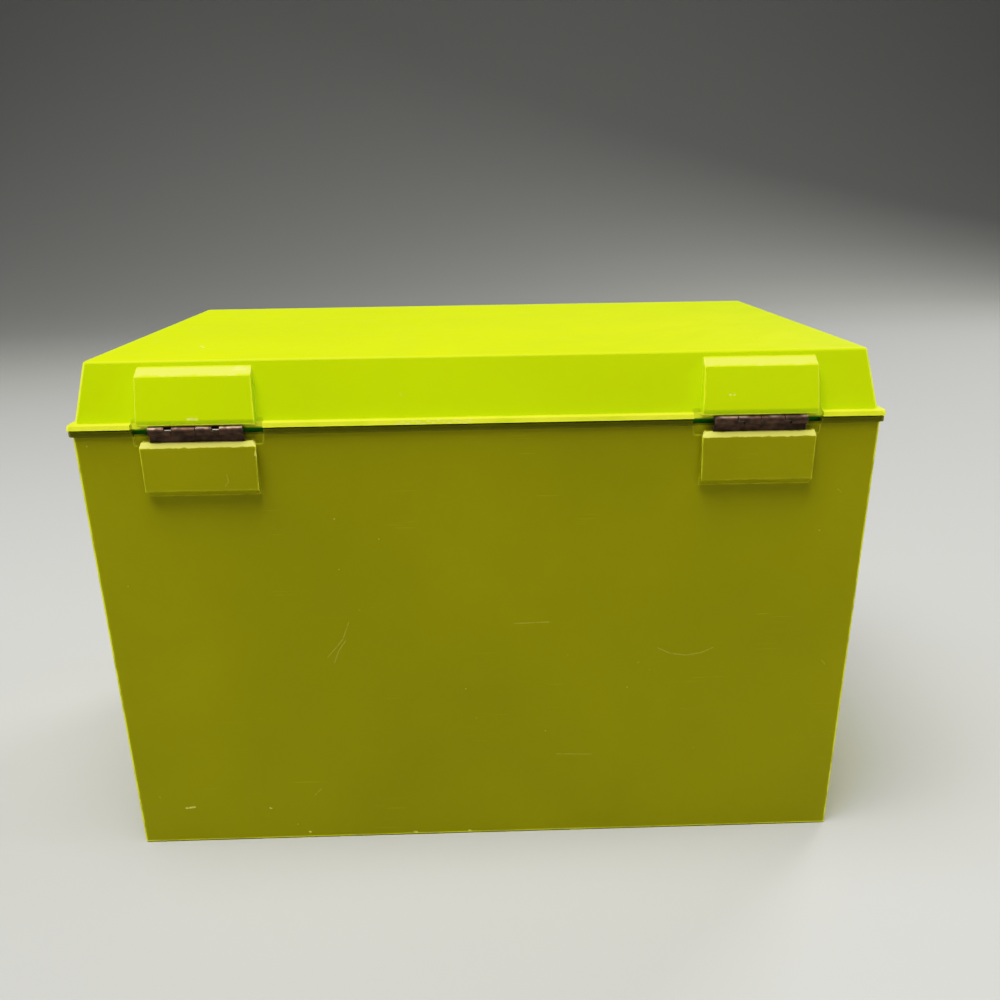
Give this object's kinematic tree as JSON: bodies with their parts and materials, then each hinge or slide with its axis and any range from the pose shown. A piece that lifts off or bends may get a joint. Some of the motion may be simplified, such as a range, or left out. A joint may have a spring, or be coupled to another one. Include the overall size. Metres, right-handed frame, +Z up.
{
  "type": "recipe box",
  "caption": "Lidded card box moulded in lime plastic: tapered tub, shallow hinged lid with a projecting rim, and small brown steel butt hinges held in raised pads.",
  "frame": {"origin": "on the resting plane, under the middle of the closed box's overall footprint, hinge barrels included", "axes": "+Z up, +Y towards the hinges at the rear, +X to the right for someone facing the front"},
  "size_m": [0.1684, 0.1162, 0.1125],
  "materials": {
    "lime_plastic": "injection moulded polystyrene, lime green, satin gloss with rubbed edges",
    "brown_steel": "stamped steel strip with a brown antique plating, worn lighter on the knuckles",
    "pin_steel": "drawn bright steel wire"
  },
  "bodies": {
    "box": {"tub": "lime_plastic", "right_hinge_tub_leaf": "brown_steel", "left_hinge_tub_leaf": "brown_steel", "right_hinge_pin": "pin_steel", "left_hinge_pin": "pin_steel"},
    "lid": {"lid": "lime_plastic", "right_hinge_lid_leaf": "brown_steel", "left_hinge_lid_leaf": "brown_steel"}
  },
  "joints": [
    {"name": "lid_hinge", "type": "hinge", "parent": "box", "child": "lid", "pos_m": [0, 0.05716, 0.09855], "axis": [-1, 0, 0], "range_deg": [0, 165]}
  ]
}
